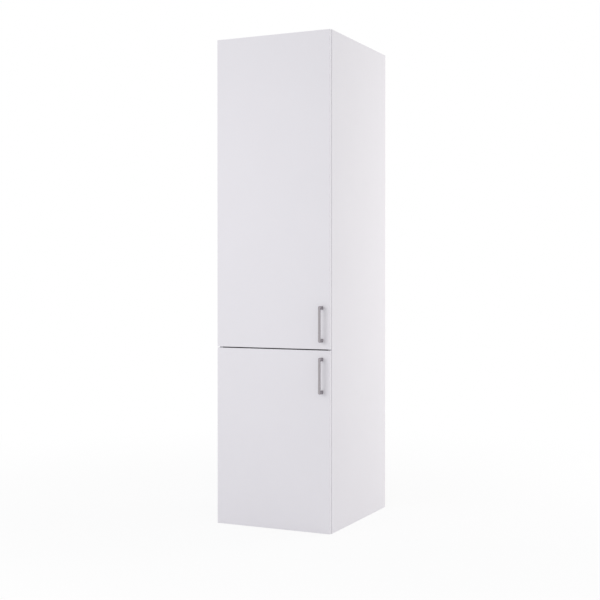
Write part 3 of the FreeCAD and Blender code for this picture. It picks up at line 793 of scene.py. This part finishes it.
@dataclass
class CrossScrews:
    """The screws of one node, each with a domed head, a cross recess and a plain shank.

    The recess and the dome are shares of the head's own radius and height, and the tip is one of the
    shank's radius.
    """

    node: str
    body: str
    axis: Axis
    outward: int
    shank: float
    head: float
    recess_reach: float = 0.62
    recess_width: float = 0.17
    recess_depth: float = 0.62
    recess_floor: float = 0.45
    recess_wall: float = 0.8
    recess_wall_rise: float = 1.1
    crown: float = 0.7
    brim: float = 0.35
    tip: float = 0.3
    octant_steps: int = 3
    dome_steps: int = 5

    def cross(self, radius: float) -> tuple[np.ndarray, np.ndarray]:
        """Draws the outline of the cross recess round the screw's axis.

        Going out from the axis, the outline is the end of an arm near the arm's middle, and beside it the
        side of the arm, which lies at the arm's half width over the sine of the angle from the arm.

        Args:
            radius: The head's radius.

        Returns:
            The angles, and the outline's distance from the axis at each.
        """
        reach, width = radius * self.recess_reach, radius * self.recess_width
        corner = math.asin(width / reach)
        steps = self.octant_steps
        end = np.linspace(0, corner, steps, endpoint=False)
        side = np.linspace(corner, math.pi / 4, steps, endpoint=False)
        octant = np.concatenate([end, side])
        mirrored = math.pi / 2 - octant[1:][::-1]
        quarter = np.concatenate([octant, [math.pi / 4], mirrored])
        angles = (np.arange(4)[:, None] * math.pi / 2 + quarter).ravel()
        from_arm = np.abs((angles + math.pi / 4) % (math.pi / 2) - math.pi / 4)
        return angles, np.minimum(reach, width / np.maximum(np.sin(from_arm), TINY))

    def rings(self, low: np.ndarray, high: np.ndarray) -> np.ndarray:
        """Turns the screw's profile round its axis.

        The rings go from the floor of the recess up to its rim, over the dome, which is a quarter of an
        ellipse, and round its edge to the shank and the tip.

        Args:
            low: The lowest corner of the screw's box.
            high: Its highest corner.

        Returns:
            The rings of the skin.
        """
        way = self.axis.value
        top, end = (high[way], low[way]) if self.outward > 0 else (low[way], high[way])
        cross_axes = [i for i in range(3) if i != way]
        radius = (high - low)[cross_axes[0]] / 2
        angles, outline = self.cross(radius)
        circle = np.ones_like(angles)
        dome = np.linspace(0, math.pi / 2, self.dome_steps + 1)
        spread = radius * (self.crown + (1 - self.crown) * np.sin(dome))
        rise = self.head * (self.brim + (1 - self.brim) * np.cos(dome))
        floor = self.head * (1 - self.recess_depth)
        rows = [
            (outline * self.recess_floor, floor),
            (outline * self.recess_wall, floor * self.recess_wall_rise),
            (outline, self.head),
        ]
        rows += [(circle * r, h) for r, h in zip(spread, rise)]
        length = abs(top - end) - self.head
        rows += [(circle * radius, 0.0), (circle * self.shank, 0.0)]
        rows += [(circle * self.shank, -length + self.shank), (circle * self.shank * self.tip, -length)]
        reach = np.stack([row for row, _ in rows])
        heights = np.array([height for _, height in rows])
        rings = np.empty((*reach.shape, 3))
        centre = (low + high) / 2
        rings[..., way] = top + self.outward * (heights - self.head)[:, None]
        rings[..., cross_axes[0]] = centre[cross_axes[0]] + reach * np.cos(angles)
        rings[..., cross_axes[1]] = centre[cross_axes[1]] + reach * np.sin(angles)
        anticlockwise = (way != Axis.Y.value) == (self.outward > 0)
        return rings if anticlockwise else rings[:, ::-1]

    def build(self) -> bpy.types.Object:
        """Makes all the screws of the node as one piece.

        Returns:
            The screws.
        """
        piece = skin(self.node + "_cross", [self.rings(low, high) for low, high in islands(self.node)])
        return hang(piece, self.body, ZINC_PLATE, self.node)


@dataclass
class StrikePlate:
    """The steel plate of a catch on the back of a door, pressed with a pin whose root shows as a dimple."""

    node: str
    body: str
    corner: float = 2.5 * MM
    edge: float = 0.3 * MM
    dimple: float = 2.4 * MM
    dimple_floor: float = 1.2 * MM
    dimple_depth: float = 0.6 * MM
    corner_steps: int = 6
    sharp: float = math.radians(20)

    def outline(self, inset: float, height: float) -> np.ndarray:
        """Draws the plate's outline: a rectangle with a quarter circle at each corner.

        Args:
            inset: Distance inside the plate's rim.
            height: Height above the door, as a place along Y.

        Returns:
            The points of the outline, one row each.
        """
        low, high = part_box(self.node)
        signs, rounding = rounded_corners(self.corner_steps)
        reach = (self.corner - inset) * rounding
        half = np.array([high.x - low.x, high.z - low.z]) / 2
        x, z = (signs * (half - self.corner) + reach + ((low.x + high.x) / 2, (low.z + high.z) / 2)).T
        return np.stack([x, np.full_like(x, height), z], axis=1)

    def build(self) -> bpy.types.Object:
        """Stacks outlines from the door to the softened rim, and circles from there down into the dimple.

        Returns:
            The plate.
        """
        low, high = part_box(self.node)
        face = self.outline(self.edge, high.y)
        rim = [self.outline(0.0, low.y), self.outline(0.0, high.y - self.edge), face]
        well = circle_within(face, self.dimple_floor) - (0, self.dimple_depth, 0)
        rings = np.stack([*rim, circle_within(face, self.dimple), well])
        piece = skin(self.node + "_pressed", [rings], self.sharp)
        return hang(piece, self.body, ZINC_PLATE, self.node)


@dataclass
class Carcass:
    """The fixed part: boards, back, shelves, bands and the fittings that join them.

    The boards between the side panels are a plainer white than the side panels and the doors.
    """

    inner_white: str = "#EAE9EB"
    inner_shade: str = "#E9E8EA"
    sides: tuple[str, ...] = ("left_side_panel", "right_side_panel")
    levels: tuple[str, ...] = ("bottom_panel", "fixed_shelf", "top_panel")
    rails: tuple[str, ...] = ("bottom_rail", "middle_rail", "top_rail")
    shelves: tuple[str, ...] = ("lower_shelf_1", "upper_shelf_1", "upper_shelf_2", "upper_shelf_3")
    backs: tuple[str, ...] = ("lower_back_panel", "upper_back_panel")

    def build(self) -> None:
        """Makes the screws of the catches on the right side panel."""
        CrossScrews("catch_screws", "carcass", Axis.X, -1, shank=1.75 * MM, head=1.2 * MM).build()

    def dress(self) -> None:
        """Gives every board and fitting its finish. The side panels have paper on their ends as well."""
        for board in self.sides:
            dress(board, FacedChipboard(board, (Axis.X, Axis.Z)))
        inner = {"white": self.inner_white, "shade": self.inner_shade}
        for board in self.levels + self.shelves:
            dress(board, FacedChipboard(board, (Axis.Z,), **inner))
        for board in self.rails:
            dress(board, FacedChipboard(board, (Axis.Y,), **inner))
        for board in self.backs:
            dress(board, LacqueredHardboard(board))
        for shelf in self.shelves:
            dress(f"{shelf}_pins", NICKEL_PLATE)
        fittings = {
            "carcass_edge_bands": EDGE_BAND,
            "back_joint_strip": WHITE_PLASTIC,
            "cam_caps": WHITE_PLASTIC,
            "cam_locks": CAST_ZINC,
            "cam_bolts": ZINC_PLATE,
            "dowels": BEECH,
            "catch_housings": WHITE_PLASTIC,
            "catch_magnets": FERRITE,
        }
        for node, finish in fittings.items():
            dress(node, finish)


@dataclass
class Door:
    """A slab door with its bands, bumpers, strike plate, handle and handle screws."""

    door: DoorName

    @property
    def body(self) -> str:
        """The body that the door's pieces move with."""
        return f"{self.door.value}_door"

    def build(self) -> None:
        """Makes the handle, its screws and the strike plate."""
        word = self.door.value
        BowHandle(f"{word}_handle", self.body).build()
        CrossScrews(f"{word}_handle_screws", self.body, Axis.Y, 1, shank=2.0 * MM, head=2.2 * MM).build()
        StrikePlate(f"{word}_strike_plate", self.body).build()

    def dress(self) -> None:
        """Gives the door's CAD nodes their finishes.

        The panel is white right through. Its bands and fittings hide every cut, and chips there would only
        stain the seams beside the bands in a baked copy.
        """
        panel = f"{self.body}_panel"
        low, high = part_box(panel)
        dress(panel, FacedChipboard(panel, (Axis.Y,), paper=high.y - low.y))
        dress(f"{self.body}_edge_bands", EDGE_BAND)
        dress(f"{self.body}_bumpers", CLEAR)


@dataclass
class CupHinges:
    """The hinges of one door: plates and arms on the carcass, cups and pins on the door."""

    door: DoorName
    pressings: tuple[str, ...] = ("plate", "arm", "cup")

    def build(self) -> None:
        """Makes the screws of the cups."""
        word = self.door.value
        body = f"{word}_door"
        CrossScrews(f"{word}_cup_screws", body, Axis.Y, 1, shank=1.75 * MM, head=1.0 * MM).build()

    def dress(self) -> None:
        """Gives plates, arms, cups and pins their finishes."""
        start = f"{self.door.value}_hinge_"
        for pressing in self.pressings:
            for node in sorted(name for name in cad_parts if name.startswith(start + pressing)):
                dress(node, NICKEL_PLATE)
        dress(start + "pins", ZINC_PLATE)


@dataclass
class HingeScrews:
    """The screws that hold all hinge plates and arms on the left side panel."""

    def build(self) -> None:
        """Makes the screws of the plates."""
        CrossScrews("hinge_plate_screws", "carcass", Axis.X, 1, shank=2.4 * MM, head=2.0 * MM).build()

    def dress(self) -> None:
        """Gives the slotted arm screws their finish."""
        dress("hinge_arm_screws", ZINC_PLATE)


@dataclass(frozen=True)
class StudioFloor(Finish):
    """A pale matt floor. Seen directly it fades to the plain white of the backdrop away from the object."""

    name: str = "matt_studio_floor"
    colour: str = "#E6E6E8"
    roughness: float = 0.95
    near: float = 0.6
    far: float = 3.0
    white_near: float = 0.9

    def paint(self, tree: bpy.types.NodeTree, shader: bpy.types.Node, place: bpy.types.NodeSocket) -> None:
        """Mixes the lit floor with plain white, by the distance from the object.

        Args:
            tree: The material's node tree.
            shader: Its principled shader.
            place: The Object coordinates.
        """
        shader.inputs["Base Color"].default_value = linear(self.colour)
        shader.inputs["Roughness"].default_value = self.roughness
        shader.inputs["Specular IOR Level"].default_value = 0.0
        away = add(tree, "VectorMath", {0: place}, operation="LENGTH").outputs["Value"]
        reach = {"Value": away, "From Min": self.near, "From Max": self.far, "To Min": self.white_near}
        fade = add(tree, "MapRange", reach, interpolation_type="SMOOTHSTEP").outputs["Result"]
        share = add(tree, "Math", {0: fade, 1: seen_directly(tree)}, operation="MULTIPLY").outputs[0]
        white = add(tree, "Emission", {"Strength": 1.0})
        mixed = add(tree, "MixShader", {0: share, 1: shader.outputs[0], 2: white.outputs[0]})
        tree.links.new(mixed.outputs[0], tree.nodes["Material Output"].inputs["Surface"])


@dataclass(frozen=True)
class SoftBox:
    """A square area lamp that looks at a point."""

    name: str
    place: tuple[float, float, float]
    aim: tuple[float, float, float]
    side: float
    watts: float
    colour: str = "#FFFFFF"

    def build(self) -> None:
        """Makes the lamp, hidden from the camera and from mirror images."""
        lamp = bpy.data.lights.new(self.name, "AREA")
        lamp.color = linear(self.colour)[:3]
        lamp.size = self.side
        lamp.energy = self.watts
        holder = bpy.data.objects.new(self.name, lamp)
        holder.location = self.place
        way = Vector(self.aim) - Vector(self.place)
        holder.rotation_euler = way.to_track_quat("-Z", "Y").to_euler()
        holder.visible_camera = False
        holder.visible_glossy = False
        bpy.context.scene.collection.objects.link(holder)


@dataclass
class Studio:
    """Floor, backdrop, light and camera."""

    floor_half: float = 12.0
    # Keeps the floor a hair below the faces that stand on it
    floor_drop: float = 0.2 * MM
    ambient: float = 0.756
    eye: tuple[float, float, float] = (2.0353, -4.3450, 1.0004)
    yaw: float = 25.229
    dip: float = 0.496
    lens: float = 68.435
    sensor: float = 36.0
    shift: float = -0.02
    lamps: tuple[SoftBox, ...] = (
        SoftBox("key", place=(-0.76, -2.4, 1.42), aim=(0.1, -0.3, 1.1), side=1.2, watts=13.6),
        SoftBox(
            "rear", place=(1.9, 2.0, 1.25), aim=(0.25, 0.1, 1.1), side=1.6, watts=27.5, colour="#FFFCF6"
        ),
    )

    def build(self) -> None:
        """Makes the floor, the world, the lamps and the camera."""
        self.build_floor()
        self.build_world()
        for lamp in self.lamps:
            lamp.build()
        self.build_camera()
        bpy.context.scene.view_settings.view_transform = "Standard"

    def build_floor(self) -> None:
        """Makes the floor: a flat square that the object stands on."""
        reach = np.array([-self.floor_half, self.floor_half])
        x, y = np.meshgrid(reach, reach)
        level = np.full_like(x, CAD_BOX[0].z - self.floor_drop)
        mesh = bpy.data.meshes.new("floor")
        mesh.from_pydata(np.stack([x, y, level], axis=-1).reshape(-1, 3), [], [(0, 1, 3, 2)])
        mesh.materials.append(StudioFloor().material())
        floor = bpy.data.objects.new("floor", mesh)
        bpy.context.scene.collection.objects.link(floor)

    def build_world(self) -> None:
        """Makes an even surround, plain white where it is seen and a little dimmer where it lights."""
        world = bpy.data.worlds.new("studio")
        world.use_nodes = True
        tree = world.node_tree
        background = tree.nodes["Background"]
        background.inputs["Color"].default_value = (1.0, 1.0, 1.0, 1.0)
        levels = {"Value": seen_directly(tree), "To Min": self.ambient, "To Max": 1.0}
        strength = add(tree, "MapRange", levels)
        tree.links.new(strength.outputs["Result"], background.inputs["Strength"])
        bpy.context.scene.world = world

    def build_camera(self) -> None:
        """Makes the camera. Its small dip and shift lift the object to its place in the picture."""
        lens = bpy.data.cameras.new("camera")
        lens.lens = self.lens
        lens.sensor_width = self.sensor
        lens.shift_y = self.shift
        camera = bpy.data.objects.new("camera", lens)
        camera.location = self.eye
        camera.rotation_euler = (math.radians(90 - self.dip), 0.0, math.radians(self.yaw))
        bpy.context.scene.collection.objects.link(camera)
        bpy.context.scene.camera = camera


def main() -> None:
    """Builds and dresses every sub-assembly, then the studio round them."""
    logging.basicConfig(level=logging.INFO, format="%(message)s")
    assemblies: list[Carcass | Door | CupHinges | HingeScrews] = [
        Carcass(),
        Door(DoorName.UPPER),
        Door(DoorName.LOWER),
        CupHinges(DoorName.UPPER),
        CupHinges(DoorName.LOWER),
        HingeScrews(),
    ]
    for assembly in assemblies:
        assembly.build()
        assembly.dress()
    Studio().build()


if __name__ == "__main__":
    main()
